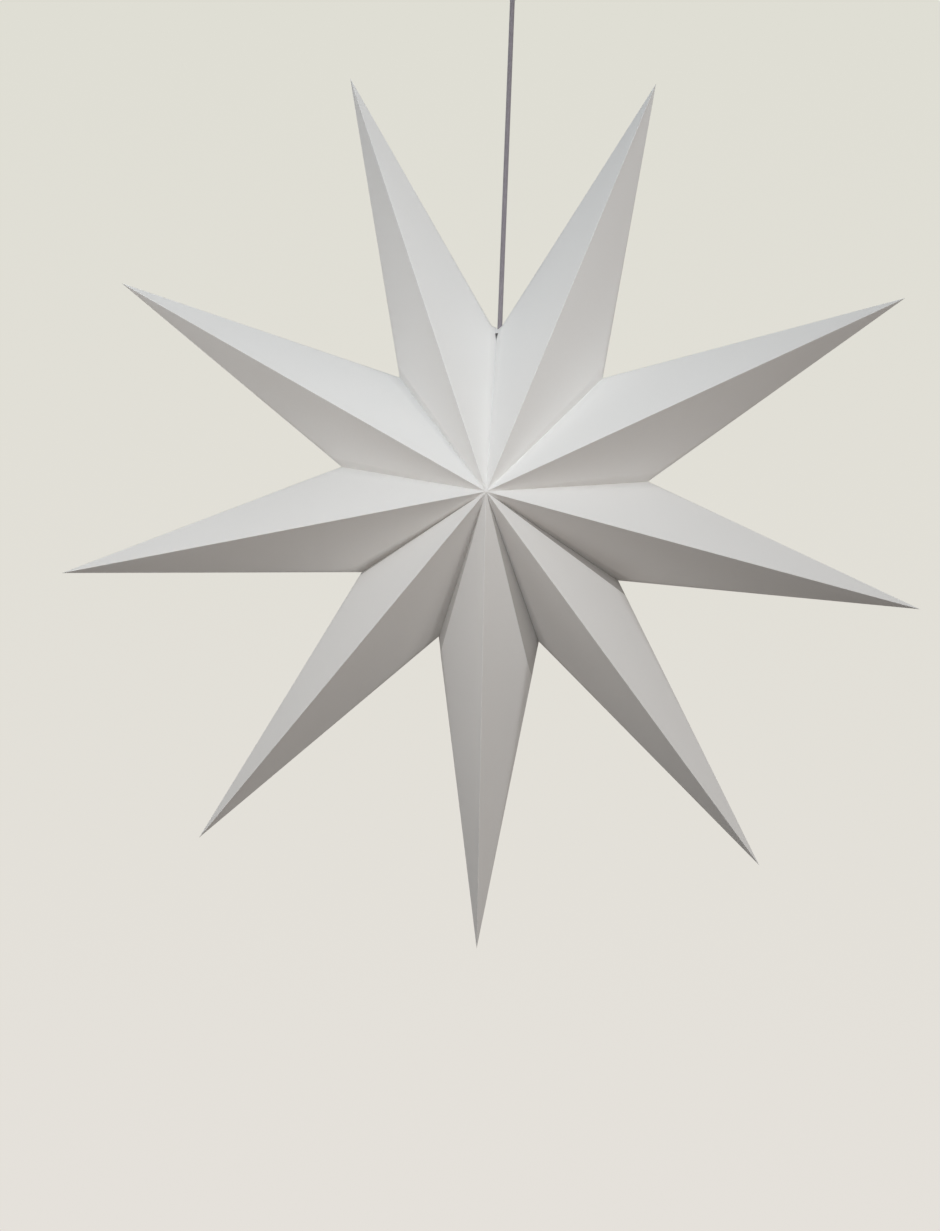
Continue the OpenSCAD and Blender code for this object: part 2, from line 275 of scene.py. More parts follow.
def crosswise(height):
    """Lays what stands upright along X, at a height."""
    return shift(0, 0, height) @ Matrix.Rotation(math.pi / 2, 4, "Y")


def add_block(bm, low, high):
    """Adds a block between two corners."""
    low, high = Vector(low), Vector(high)
    made = bmesh.ops.create_cube(bm, size=1)["verts"]
    bmesh.ops.scale(bm, vec=high - low, verts=made)
    bmesh.ops.translate(bm, vec=(low + high) / 2, verts=made)


def add_rod(bm, radius, length, place, steps=32):
    """Adds a rod whose own axis is Z, put in place by a matrix."""
    made = bmesh.ops.create_cone(bm, cap_ends=True, segments=steps, radius1=radius, radius2=radius,
                                 depth=length)["verts"]
    bmesh.ops.transform(bm, matrix=place, verts=made)


def verts_in(made):
    """The corners among what a bmesh operator has made."""
    return [item for item in made["geom"] if isinstance(item, bmesh.types.BMVert)]


def cut(piece, shape):
    """Cuts the shape of a bmesh out of a piece and keeps the result in its mesh."""
    cutter = add_mesh("cutter", shape)
    boolean = piece.modifiers.new("Cut", "BOOLEAN")
    boolean.operation = "DIFFERENCE"
    boolean.solver = "MANIFOLD"
    boolean.object = cutter
    graph = bpy.context.evaluated_depsgraph_get()
    result = bpy.data.meshes.new_from_object(piece.evaluated_get(graph), depsgraph=graph)
    piece.modifiers.remove(boolean)
    used = (piece.data, cutter.data)
    piece.data = result
    bpy.data.objects.remove(cutter)
    for mesh in used:
        bpy.data.meshes.remove(mesh)
    if not result.polygons:
        raise RuntimeError(f"{piece.name} is empty after a cut")


def cut_rod(piece, radius, length, place, steps=32):
    """Cuts a round hole into a piece."""
    rod = bmesh.new()
    add_rod(rod, radius, length, place, steps)
    cut(piece, rod)


# Small helpers for materials

def feed(tree, node, values):
    """Sets or links a node's inputs: each value is a number, a colour or another node's output."""
    for name, value in values.items():
        if isinstance(value, bpy.types.NodeSocket):
            tree.links.new(value, node.inputs[name])
        else:
            node.inputs[name].default_value = value


def add_node(tree, kind, values, **settings):
    """Adds a shader node with its settings and its inputs."""
    node = tree.nodes.new("ShaderNode" + kind)
    for name, value in settings.items():
        setattr(node, name, value)
    feed(tree, node, values)
    return node


def new_material(name):
    """A material with an empty tree, its Principled BSDF and its output."""
    material = bpy.data.materials.new(name)
    material.use_nodes = True
    tree = material.node_tree
    tree.nodes.clear()
    shader = add_node(tree, "BsdfPrincipled", {})
    add_node(tree, "OutputMaterial", {"Surface": shader.outputs["BSDF"]})
    return material, tree, shader


def math_node(tree, operation, *values):
    """The value of a Math node."""
    return add_node(tree, "Math", dict(enumerate(values)), operation=operation).outputs[0]


def noise(tree, vector, scale, detail, roughness=0.5):
    """A Noise Texture's value at a vector."""
    return add_node(tree, "TexNoise", {"Vector": vector, "Scale": scale, "Detail": detail,
                                       "Roughness": roughness}).outputs[0]


def blend_colours(tree, share, first, second):
    """The first colour at share 0 and the second at share 1."""
    return add_node(tree, "Mix", {0: share, 6: first, 7: second}, data_type="RGBA").outputs[2]


def stretched(tree, vector, scale):
    """A vector times a scale on each axis."""
    return add_node(tree, "Mapping", {"Vector": vector, "Scale": scale}).outputs[0]


def object_place(tree):
    """The place on the object, which is the same as in the room."""
    return add_node(tree, "TexCoord", {}).outputs["Object"]


def parts_of(tree, vector):
    """The three parts of a vector."""
    return add_node(tree, "SeparateXYZ", {0: vector}).outputs


def relief(tree, height, strength, depth):
    """A normal that is tilted by a height."""
    node = add_node(tree, "Bump", {"Height": height, "Strength": strength, "Distance": depth})
    return node.outputs["Normal"]


def seen_directly(tree):
    """1 where the camera looks, straight or by gloss or glass, and 0 for the light that falls on the star."""
    path = add_node(tree, "LightPath", {})
    seen = math_node(tree, "MAXIMUM", path.outputs["Is Camera Ray"], path.outputs["Is Glossy Ray"])
    return math_node(tree, "MAXIMUM", seen, path.outputs["Is Transmission Ray"])


def rise_between(tree, value, low, high, way="LINEAR"):
    """0 below one value, 1 above another, and a straight or soft rise between them."""
    return add_node(tree, "MapRange", {"Value": value, "From Min": low, "From Max": high},
                    interpolation_type=way).outputs["Result"]


def mix_shaders(tree, share, first, second, output):
    """Sends the first shader to the output at share 0 and the second at share 1."""
    mix = add_node(tree, "MixShader", {0: share, 1: first.outputs[0], 2: second.outputs[0]})
    feed(tree, output, {"Surface": mix.outputs[0]})


# Surfaces: scale of the broad clouds, scale of the fine grain and how much the grain is squeezed on each axis
SURFACES = {
    "Paper fibres": (9, 420, (1, 1, 1)),
    "Moulded skin": (24, 900, (1, 1, 1)),
    "Pressed ceramic": (60, 1400, (1, 1, 1)),
    "Drawn metal": (40, 300, (1, 1, 14)),
    "Zinc coat": (70, 700, (1, 1, 1)),
}


def surface(name):
    """A group that varies a colour a little, with a height for a Bump node and a mask for roughness."""
    if name in bpy.data.node_groups:
        return bpy.data.node_groups[name]
    scale, fine_scale, stretch = SURFACES[name]
    group = bpy.data.node_groups.new(name, "ShaderNodeTree")
    for label, way, kind in (("Color", "INPUT", "Color"), ("Variation", "INPUT", "Float"),
                             ("Color", "OUTPUT", "Color"), ("Height", "OUTPUT", "Float"),
                             ("Mask", "OUTPUT", "Float")):
        group.interface.new_socket(label, in_out=way, socket_type="NodeSocket" + kind)
    start = group.nodes.new("NodeGroupInput")
    place = object_place(group)
    broad = noise(group, place, scale, 4)
    fine = noise(group, stretched(group, place, stretch), fine_scale, 5, 0.65)
    both = math_node(group, "MULTIPLY_ADD", fine, 0.4, math_node(group, "MULTIPLY", broad, 0.6))
    shade = math_node(group, "SUBTRACT", both, 0.5)
    factor = math_node(group, "MULTIPLY_ADD", shade, start.outputs["Variation"], 1.0)
    tint = add_node(group, "VectorMath", {}, operation="SCALE")
    feed(group, tint, {0: start.outputs["Color"], "Scale": factor})
    feed(group, group.nodes.new("NodeGroupOutput"), {"Color": tint.outputs[0], "Height": fine, "Mask": both})
    return group


def add_surface(tree, name, base, variation):
    """The outputs of a surface group in a material's tree."""
    skin = add_node(tree, "Group", {}, node_tree=surface(name))
    feed(tree, skin, {"Color": base, "Variation": variation})
    return skin.outputs


class Finish(NamedTuple):
    """How a plain finish looks: roughness runs between two values, and depth is its relief in metres."""

    surface: str
    base: str
    variation: float
    roughness: tuple
    relief: float
    depth: float = 0.0003
    metallic: float = 0.0
    coat: float = 0.0
    coat_roughness: float = 0.03


FINISHES = {
    "white plastic": Finish("Moulded skin", "plastic", 0.04, (0.32, 0.44), 0.06, coat=0.08),
    "grey rubber": Finish("Moulded skin", "rubber", 0.10, (0.55, 0.7), 0.15),
    "natural nylon": Finish("Moulded skin", "nylon", 0.08, (0.40, 0.55), 0.08),
    "pressed ceramic": Finish("Pressed ceramic", "ceramic", 0.14, (0.55, 0.8), 0.3),
    "contact brass": Finish("Drawn metal", "brass", 0.12, (0.22, 0.42), 0.08, 0.0002, 1.0),
    "bright sleeve": Finish("Drawn metal", "sleeve", 0.10, (0.2, 0.38), 0.06, 0.0002, 1.0),
    "zinc steel": Finish("Zinc coat", "zinc", 0.18, (0.3, 0.5), 0.1, 0.0002, 1.0),
    "opal glass": Finish("Moulded skin", "glass", 0.02, (0.16, 0.24), 0.01, 0.0002, 0.0, 0.5, 0.05),
}


def finish(name):
    """The material of a plain finish, made at its first use."""
    if name in bpy.data.materials:
        return bpy.data.materials[name]
    look = FINISHES[name]
    smooth, rough = look.roughness
    material, tree, shader = new_material(name)
    base = getattr(bpy.context.scene.star_colours, look.base)
    skin = add_surface(tree, look.surface, base, look.variation)
    feed(tree, shader, {
        "Base Color": skin["Color"],
        "Roughness": math_node(tree, "MULTIPLY_ADD", skin["Mask"], rough - smooth, smooth),
        "Normal": relief(tree, skin["Height"], look.relief, look.depth),
        "Metallic": look.metallic,
        "Coat Weight": look.coat,
        "Coat Roughness": look.coat_roughness,
    })
    return material


def paper_material():
    """White paper: soft clouds, fine fibres, a painted highlight along the ridges and painted shade on the
    strips beside hard creases.
    """
    highlight_width, highlight_strength = 0.0014, 0.95
    colours = bpy.context.scene.star_colours
    material, tree, shader = new_material("folded paper")
    skin = add_surface(tree, "Paper fibres", colours.paper, 0.05)
    # The first UV value is the distance from the nearest ridge, for the painted ridge highlight; the second
    # is the share of painted shade on a strip beside a hard crease.
    folds = parts_of(tree, add_node(tree, "UVMap", {}, uv_map="folds").outputs["UV"])
    # Painted highlight: paper within the highlight width of a ridge is mixed towards a lighter colour.
    near = math_node(tree, "MINIMUM", math_node(tree, "DIVIDE", folds["X"], highlight_width), 1.0)
    painted_ridge_highlight = math_node(tree, "MULTIPLY", math_node(tree, "SUBTRACT", 1.0, near), highlight_strength)
    lighter = blend_colours(tree, painted_ridge_highlight, skin["Color"], colours.painted_ridge_highlight)
    feed(tree, shader, {
        # Painted shade: strips beside hard creases are mixed towards grey by the second UV value.
        "Base Color": blend_colours(tree, folds["Y"], lighter, colours.painted_strip_shade),
        "Roughness": 0.85,
        "Specular IOR Level": 0.25,
        "Normal": relief(tree, skin["Height"], 0.10, 0.0004),
    })
    return material


def braid_material():
    """A round textile braid: threads that cross at both slants, in two close greys."""
    threads_along, threads_round = 2900, 8
    dark, light = (
        (*(part * share for part, share in zip(bpy.context.scene.star_colours.cord, shares)), 1)
        for shares in ((0.62, 0.60, 0.66), (1.25, 1.22, 1.2)))
    material, tree, shader = new_material("textile braid")
    place = object_place(tree)
    parts = parts_of(tree, place)
    angle = math_node(tree, "ARCTAN2", parts["Y"], parts["X"])
    along = math_node(tree, "MULTIPLY", parts["Z"], threads_along)
    around = math_node(tree, "MULTIPLY", angle, threads_round)
    left, right = (math_node(tree, "SINE", math_node(tree, slant, along, around))
                   for slant in ("ADD", "SUBTRACT"))
    height = math_node(tree, "MULTIPLY_ADD", math_node(tree, "MULTIPLY", left, right), 0.5, 0.5)
    cloud = noise(tree, place, 180, 3)
    share = math_node(tree, "MULTIPLY_ADD", cloud, 0.5, math_node(tree, "MULTIPLY", height, 0.5))
    feed(tree, shader, {
        "Base Color": blend_colours(tree, share, dark, light),
        "Roughness": 0.8,
        "Sheen Weight": 0.25,
        "Sheen Roughness": 0.5,
        "Normal": relief(tree, height, 0.7, 0.0003),
    })
    return material


# Camera

def direction(azimuth, elevation):
    """The direction from the star: azimuth 0 is its front, 90 its right as seen from the front."""
    turn, rise = math.radians(azimuth), math.radians(elevation)
    return Vector((math.sin(turn) * math.cos(rise), -math.cos(turn) * math.cos(rise), math.sin(rise)))


class STAR_OT_camera(bpy.types.Operator):
    """Place the camera at the photograph's viewing angle"""

    bl_idname = "advent_star.camera"
    bl_label = "Camera"

    def execute(self, context):
        distance, roll = 2.6, math.radians(2.22)
        focal_pixels, photo_height, sensor = 2280.4, 1231, 36
        place = Vector((0, 0, context.scene.star_sizes.centre_height)) + distance * direction(3.70, -4.25)
        forward = (Vector((-0.0213, 0, -0.7922)) - place).normalized()
        level = forward.cross(Vector((0, 0, 1))).normalized()
        upright = level.cross(forward)
        right = math.cos(roll) * level + math.sin(roll) * upright
        up = math.cos(roll) * upright - math.sin(roll) * level
        data = bpy.data.cameras.new("camera")
        data.sensor_width = sensor
        data.lens = focal_pixels / photo_height * sensor
        data.clip_start, data.clip_end = 0.05, 60
        camera = add_object("camera", data)
        camera.matrix_world = Matrix((right, up, -forward)).transposed().to_4x4()
        camera.location = place
        context.scene.camera = camera
        return {"FINISHED"}


# Cord

class STAR_OT_cord(bpy.types.Operator):
    """Make the textile cord, held taut between the ceiling cup and the lampholder"""

    bl_idname = "advent_star.cord"
    bl_label = "Cord"

    def execute(self, context):
        sizes = context.scene.star_fitting
        curve = bpy.data.curves.new("textile_cord", "CURVE")
        curve.dimensions = "3D"
        curve.bevel_depth = sizes.cord_radius
        curve.bevel_resolution = 6
        curve.use_fill_caps = True
        line = curve.splines.new("POLY")
        steps = 24
        line.points.add(steps)
        for i, point in enumerate(line.points):
            point.co = (0, 0, sizes.cord_low + (sizes.cord_high - sizes.cord_low) * i / steps, 1)
        line.use_smooth = True
        cord = add_object("textile_cord", curve)
        curve.materials.append(braid_material())
        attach(cord, "root")
        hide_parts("cord")
        return {"FINISHED"}


# Folded points

class FoldedPoint:
    """Places on one folded point, worked out from the star's sizes."""

    def __init__(self, sizes, k):
        self.sizes = sizes
        self.k = k
        self.centre = Vector((0, 0, sizes.centre_height))
        self.tip = self.spot(90 - (k - 0.5) * 360 / sizes.points + sizes.tip_turn[k - 1],
                             sizes.tip_radius + sizes.tip_extra[k - 1] / 1000)
        self.front = self.centre - Vector((0, sizes.half_depth, 0))
        self.back = self.centre + Vector((0, sizes.half_depth, 0))
        self.notches = [self.notch(k - 1), self.notch(k)]
        self.seams = list(self.notches)
        for side, end_point in ((0, 1), (1, sizes.points)):
            if k == end_point:
                outward = (self.notches[side] - self.centre).normalized()
                self.seams[side] = self.notches[side] + sizes.seam_rise * outward
        self.runs = [sizes.crease_before[k - 1] / 1000, sizes.crease_after[k - 1] / 1000]
        self.slopes = [sizes.slope_before[k - 1], sizes.slope_after[k - 1]]
        # Painted shade of the strips beside the two side creases
        self.painted_shades = [sizes.painted_shade_before[k - 1], sizes.painted_shade_after[k - 1]]
        self.middle = (self.notches[0] + self.notches[1]) / 2

    def spot(self, degrees, radius):
        """A place in the middle plane of the star."""
        angle = math.radians(degrees)
        return self.centre + Vector((math.cos(angle), 0, math.sin(angle))) * radius

    def notch(self, k):
        """The outer end of the seam after point k."""
        i = k % self.sizes.points
        return self.spot(90 - k * 360 / self.sizes.points + self.sizes.notch_turn[i],
                         self.sizes.notch_radius + self.sizes.notch_extra[i] / 1000)

    def crease(self, side, sign, share=1.0):
        """The end of a side crease, in front of the middle plane for sign -1 and behind it for 1.

        For a smaller share of the way from the tip it closes up to the middle plane.
        """
        notch, run, slope = self.notches[side], self.runs[side], self.slopes[side] * share ** 2
        return notch + run * ((self.tip - notch).normalized() + Vector((0, sign * slope, 0)))

    def sheet_scale(self):
        """How much smaller the inside of the point is than its outside."""
        distances = []
        for side in (0, 1):
            normal = (self.crease(side, -1) - self.front).cross(self.tip - self.front).normalized()
            distances.append(abs(normal.dot(self.middle - self.front)))
        return 1 - self.sizes.sheet / min(distances)


# Columns of the sheet: shares of the way from a ridge to the side fold, straight and then round the fold.
# The two without a share lie one and two fold widths from the ridge.
STRAIGHT = [0.0, None, None, 0.12, 0.26, 0.40, 0.54, 0.68, 0.82, 0.93, 1.0]
ROUND = [0.18, 0.38, 0.6, 0.8, 1.0]
HALF = len(STRAIGHT) + len(ROUND) - 1
# Rows of the sheet: from the tip to the crease, from the crease to the seam, and over the flap
CONE = [0.0, 0.004, 0.012, 0.03, 0.06, 0.11, 0.17, 0.24, 0.32, 0.40, 0.48, 0.56, 0.64, 0.72, 0.80,
        0.87, 0.93, 0.97, 0.99, 1.0]
STRIP = [0.3, 0.65, 1.0]
FLAP = [1.0]
# Share of a seam that the straight columns take up
STRAIGHT_SEAM = 0.95
# How far the side fold reaches onto a facet, beyond half of its own width
FOLD_REACH = 0.004
# Share of the fold width by which a ridge is flattened
FLATTENED = 0.3


def wave(point, side, face, across, along):
    """A gentle wave of the paper, still at the folds and different on every facet."""
    seed = 1.7 * point.k + 2.3 * side + 4.1 * face
    still = math.sin(math.pi * min(across, 1)) * math.sin(math.pi * min(along, 1)) ** 0.8
    roll = math.sin(5.1 * along + seed) + 0.6 * math.sin(8.3 * along + 4.7 * across + 2 * seed)
    return 0.55 * point.sizes.wave * still * roll


def ridge_fade(share):
    """1 along a ridge, and less towards its two ends, where share is 0 and 1."""
    tip_part, seam_part = 0.05, 0.012
    return min(1, share / tip_part) * min(1, (1 - share) / seam_part)


def sheet_place(point, row, column):
    """The place of one corner of the sheet, and its distance from the nearest ridge along the paper."""
    side = 0 if column <= 2 * HALF else 1
    step = column if side == 0 else 4 * HALF - column
    face = 0 if step <= HALF else 1
    near = step if face == 0 else 2 * HALF - step
    sign = -1 if face == 0 else 1
    ridge = point.front if face == 0 else point.back
    share = CONE[min(row, len(CONE) - 1)]
    tip, corner = point.tip, point.crease(side, sign, share)
    side_middle = (point.crease(side, -1) + point.crease(side, 1)) / 2
    fold_run = min(0.5 * (corner - side_middle).length + FOLD_REACH, 0.5 * (corner - ridge).length)
    bend = corner + (ridge - corner).normalized() * fold_run
    if near < len(STRAIGHT):
        across = STRAIGHT[near]
        if across is None:
            run = (bend - ridge).length * share
            across = near * point.sizes.fold * ridge_fade(share) / max(run, 1e-6)
        place = ridge + across * (bend - ridge)
        along_seam = STRAIGHT_SEAM * across
    else:
        across = 1
        part = ROUND[near - len(STRAIGHT)]
        place = (1 - part) ** 2 * bend + 2 * part * (1 - part) * corner + part ** 2 * side_middle
        along_seam = STRAIGHT_SEAM + (1 - STRAIGHT_SEAM) * part
    distance = (place - ridge).length * share
    if row < len(CONE):
        on_cone = tip + share * (place - tip)
        if near == 0 and 0 < share < 1:
            inward = point.middle - on_cone
            inward -= inward.project(tip - ridge)
            on_cone += inward.normalized() * FLATTENED * point.sizes.fold * ridge_fade(share)
        elif 0 < across < 1:
            normal = (corner - ridge).cross(tip - ridge).normalized()
            if normal.dot(point.middle - ridge) > 0:
                normal.negate()
            on_cone += normal * wave(point, side, face, across, share)
        return on_cone, distance
    seam = ridge + along_seam * (point.seams[side] - ridge)
    if row < len(CONE) + len(STRIP):
        return place + STRIP[row - len(CONE)] * (seam - place), distance
    part = FLAP[row - len(CONE) - len(STRIP)]
    deep = point.sizes.half_depth
    reaches = [(end - point.centre).length for end in point.seams]
    keep = [1 - point.sizes.flap * math.hypot(deep, reach) / (deep * reach) for reach in reaches]
    scale = (keep[0] + keep[1]) / 2 if near == 0 else keep[side]
    return point.centre + (1 + part * (scale - 1)) * (seam - point.centre), distance


def folded_sheet(point):
    """One sheet of paper, folded to a hollow point with its glue flaps and the thickness of the paper.

    A strip between crease and seam that is folded hard gets painted shade, a grey in its colour in place of
    the shadow in its deep valley, and its crease is sharp.
    """
    rows, columns = len(CONE) + len(STRIP) + len(FLAP), 4 * HALF + 1
    crease_row, seam_row = len(CONE) - 1, len(CONE) + len(STRIP) - 1
    bm = bmesh.new()
    bmesh.ops.create_grid(bm, x_segments=columns - 1, y_segments=rows - 1, size=1)
    if len(bm.verts) != rows * columns:
        raise RuntimeError("the grid of a folded point doesn't have the asked number of corners")
    layer = bm.loops.layers.uv.new("folds")
    row_of = {vert: round((vert.co.y + 1) / 2 * (rows - 1)) for vert in bm.verts}
    column_of = {vert: round((vert.co.x + 1) / 2 * (columns - 1)) for vert in bm.verts}
    places = {vert: sheet_place(point, row_of[vert], column_of[vert]) for vert in bm.verts}

    def painted_shade_of(item):
        side = 0 if min(column_of[vert] for vert in item.verts) < 2 * HALF else 1
        return point.painted_shades[side]

    for edge in bm.edges:
        first, second = (row_of[vert] for vert in edge.verts)
        sharp = first == seam_row or (first == crease_row and painted_shade_of(edge) > 0)
        edge.smooth = not (first == second and sharp)
    for face in bm.faces:
        face.smooth = True
        # The second UV value carries the painted shade of a strip beyond a hard crease.
        beyond = min(row_of[vert] for vert in face.verts) >= crease_row
        for loop in face.loops:
            loop[layer].uv = (places[loop.vert][1], painted_shade_of(face) if beyond else 0)
    for vert, found in places.items():
        vert.co = found[0]
    bmesh.ops.remove_doubles(bm, verts=bm.verts, dist=2e-6)
    bmesh.ops.dissolve_degenerate(bm, edges=bm.edges, dist=1e-6)
    bmesh.ops.recalc_face_normals(bm, faces=bm.faces)
    outward = sum(face.normal.dot(face.calc_center_median() - point.middle) * face.calc_area()
                  for face in bm.faces)
    if outward < 0:
        bmesh.ops.reverse_faces(bm, faces=bm.faces)
    made = bmesh.ops.duplicate(bm, geom=bm.verts[:] + bm.edges[:] + bm.faces[:])
    scale = Vector((1, 1, 1)) * point.sheet_scale()
    bmesh.ops.scale(bm, vec=scale, space=Matrix.Translation(-point.middle), verts=verts_in(made))
    bmesh.ops.reverse_faces(bm, faces=[item for item in made["geom"] if isinstance(item, bmesh.types.BMFace)])
    rim = [edge for edge in bm.edges if edge.is_boundary]
    for edge in rim:
        edge.smooth = False
    bmesh.ops.bridge_loops(bm, edges=rim)
    return bm


def dome_centre(fitting):
    """Height of the centre of the cap's dome, above the cap's straight skirt."""
    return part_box("holder_cap")[0].z + fitting.skirt


def top_cutters(sizes, fitting):
    """The cord's hole, the slit, and the room for the lampholder between the flaps of the two end points.

    All but the hole are made along X, outwards from the star's centre, and then turned up to the top seam.
    """
    reach, half_gap, clearance = 0.038, 0.002, 0.00015
    beyond, slit_depth, grip_room = 0.001, 0.019, 0.00485
    notch_radius = sizes.notch_radius + sizes.notch_extra[0] / 1000
    dome_radius = fitting.dome_radius + clearance
    dome = dome_centre(fitting) - sizes.centre_height
    grip_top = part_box("holder_grip")[1].z - sizes.centre_height
    hole = bmesh.new()
    add_rod(hole, sizes.cord_hole, 2 * reach, shift(0, 0, dome_centre(fitting) + reach), 48)
    half = (sizes.slit_length + beyond) * sizes.slit_width / 2 / sizes.slit_length
    low, high = notch_radius - sizes.slit_length, notch_radius + beyond
    slit = bmesh.new()
    flat = [slit.verts.new((x, -slit_depth, z)) for x, z in ((low, 0), (high, half), (high, -half))]
    pushed = bmesh.ops.extrude_face_region(slit, geom=[slit.faces.new(flat)])
    bmesh.ops.translate(slit, vec=(0, slit_depth, 0), verts=verts_in(pushed))
    bmesh.ops.recalc_face_normals(slit, faces=slit.faces)
    room = bmesh.new()
    add_rod(room, dome_radius, 2 * half_gap, shift(dome, 0, 0), 64)
    below = bmesh.new()
    add_block(below, (dome - reach, -dome_radius, -half_gap), (dome, dome_radius, half_gap))
    above = bmesh.new()
    add_block(above, (dome, -grip_room, -half_gap), (grip_top + beyond, grip_room, half_gap))
    lean = shift(0, 0, sizes.centre_height) @ Matrix.Rotation(
        -math.radians(90 + sizes.notch_turn[0]), 4, "Y")
    for bm in (slit, room, below, above):
        bm.transform(lean)
    return [hole, slit, room, below, above]


def sharpen_cut(piece):
    """Marks the steep edges that a cut has left, so that they don't shade as round."""
    bm = bmesh.new()
    bm.from_mesh(piece.data)
    for edge in bm.edges:
        if edge.calc_face_angle(0) > math.radians(65):
            edge.smooth = False
    for face in bm.faces:
        face.smooth = True
    bm.to_mesh(piece.data)
    bm.free()


class STAR_OT_points(bpy.types.Operator):
    """Fold the nine paper points, and cut the two that meet at the cord"""

    bl_idname = "advent_star.points"
    bl_label = "Folded points"

    def execute(self, context):
        sizes = context.scene.star_sizes
        paper = paper_material()
        for k in range(1, sizes.points + 1):
            sheet = folded_sheet(FoldedPoint(sizes, k))
            piece = new_object(f"paper_ray_{k}", sheet, paper, [f"ray_{k}"])
            if k in (1, sizes.points):
                for cutter in top_cutters(sizes, context.scene.star_fitting):
                    cut(piece, cutter)
                sharpen_cut(piece)
        return {"FINISHED"}


class STAR_OT_clips(bpy.types.Operator):
    """Give the spring clips of the top seam their steel"""

    bl_idname = "advent_star.clips"
    bl_label = "Seam clips"

    def execute(self, context):
        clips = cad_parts["seam_clips"]
        clips.data.materials.clear()
        clips.data.materials.append(finish("zinc steel"))
        return {"FINISHED"}


# Lampholder and bulb

class STAR_OT_lampholder(bpy.types.Operator):
    """Turn the lampholder's cap, body, sleeve, contacts and cord grip"""

    bl_idname = "advent_star.lampholder"
    bl_label = "Lampholder"

    def execute(self, context):
        sizes = context.scene.star_fitting
        self.cap(sizes)
        self.body(sizes)
        self.contact_block()
        self.centre_contact()
        self.screw_sleeve(sizes)
        self.cord_grip(sizes)
        return {"FINISHED"}

    def cap(self, sizes):
        """A dome on a short skirt, with a groove and a neck for the cord grip."""
        neck = 0.00455
        radius, inner = sizes.dome_radius, sizes.dome_radius - sizes.wall
        low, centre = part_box("holder_cap")[0].z, (0, dome_centre(sizes))
        profile = [(inner, low), (radius, low)] + groove(radius, low + 0.0016, low + 0.0032)
        profile += arc(centre, radius, 0, math.degrees(math.acos(neck / radius)), 20)
        profile += arc(centre, inner, math.degrees(math.acos(neck / inner)), 0, 16)
        turned("holder_cap_turned", profile, "white plastic", ["holder_cap"], 0.0003)

    def body(self, sizes):
        """A ribbed tube that holds the sleeve, with a shelf for the contact block."""
        bore, block_room, shelf_hole, shelf_wall = 0.0141, 0.0148, 0.011, 0.002
        rib_pitch, rib_depth = 0.0028, 0.0007
        radius, collar = sizes.dome_radius, sizes.dome_radius - sizes.wall - 0.0002
        low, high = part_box("holder_body")
        cap_low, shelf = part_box("holder_cap")[0].z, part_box("contact_block")[0].z
        profile = [(bore, low.z), (radius - 0.0006, low.z), (radius, low.z + 0.0008)]
        profile += thread(radius, low.z + 0.004, cap_low - 0.008, rib_pitch, rib_depth)
        profile += [(radius, cap_low), (collar, cap_low), (collar, high.z), (block_room, high.z),
                    (block_room, shelf), (shelf_hole, shelf), (shelf_hole, shelf - shelf_wall),
                    (bore, shelf - shelf_wall)]
        turned("holder_body_turned", profile, "white plastic", ["holder_body"], 0.0002)

    def contact_block(self):
        """A pressed disc with two wells, and the two brass screws that stand in them."""
        screw_place, screw_radius, well_radius = 0.0085, 0.0023, 0.0026
        low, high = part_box("contact_block")
        profile = [(0, low.z), (high.x, low.z), (high.x, high.z), (0, high.z)]
        block = turned_sharp("contact_block_pressed", profile, "pressed ceramic",
                             ["contact_block"], False)
        screws = bmesh.new()
        for x in (-screw_place, screw_place):
            cut_rod(block, well_radius, 0.006, shift(x, 0, high.z), 24)
            add_rod(screws, screw_radius, 0.0022, shift(x, 0, high.z - 0.0015), 24)
        soften(block, 0.0004)
        soften(new_object("terminal_screws", screws, finish("contact brass"), []), 0.0003)

    def centre_contact(self):
        """A rounded brass stud."""
        low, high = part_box("centre_contact")
        radius = high.x
        profile = [(0, low.z), (radius * 0.5, low.z), (radius * 0.85, low.z + 0.0005),
                   (radius, low.z + 0.0013), (radius, high.z), (0, high.z)]
        turned("centre_contact_stud", profile, "contact brass", ["centre_contact"], 0.0002,
               False)

    def screw_sleeve(self, sizes):
        """A sleeve of rolled sheet with the lamp thread, open above round its hole."""
        hole, sheet, rolled_sheet, depth = 0.008, 0.0004, 0.00035, 0.0004
        low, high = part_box("screw_sleeve")
        outer, inner = high.x, high.x - sheet
        rolled = thread(inner, low.z + 0.002, high.z - 0.003, sizes.pitch, depth)
        profile = [(hole, high.z), (hole, high.z - sheet), (inner, high.z - sheet)] + rolled[::-1]
        profile += [(inner, low.z), (outer, low.z)]
        profile += [(radius + rolled_sheet, height) for radius, height in rolled] + [(outer, high.z)]
        turned("screw_sleeve_rolled", profile, "bright sleeve", ["screw_sleeve"], 0.0001)

    def cord_grip(self, sizes):
        """A rubber grip with a flange below and a tapered, ribbed sleeve round the cord."""
        flange_height = 0.004
        low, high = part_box("holder_grip")
        tip, neck = sizes.bore + 0.0006, sizes.bore + 0.0012
        profile = [(sizes.bore, low.z), (high.x, low.z), (high.x, low.z + flange_height),
                   (neck, low.z + flange_height), (neck, high.z - 0.009)]
        profile += ribs(4, high.z - 0.0085, 0.002, neck, tip, 0.0003, (0.0010, 0.0012, 0.0018))
        profile += [(tip, high.z), (sizes.bore, high.z)]
        turned("holder_grip_moulded", profile, "grey rubber", ["holder_grip"], 0.00015)


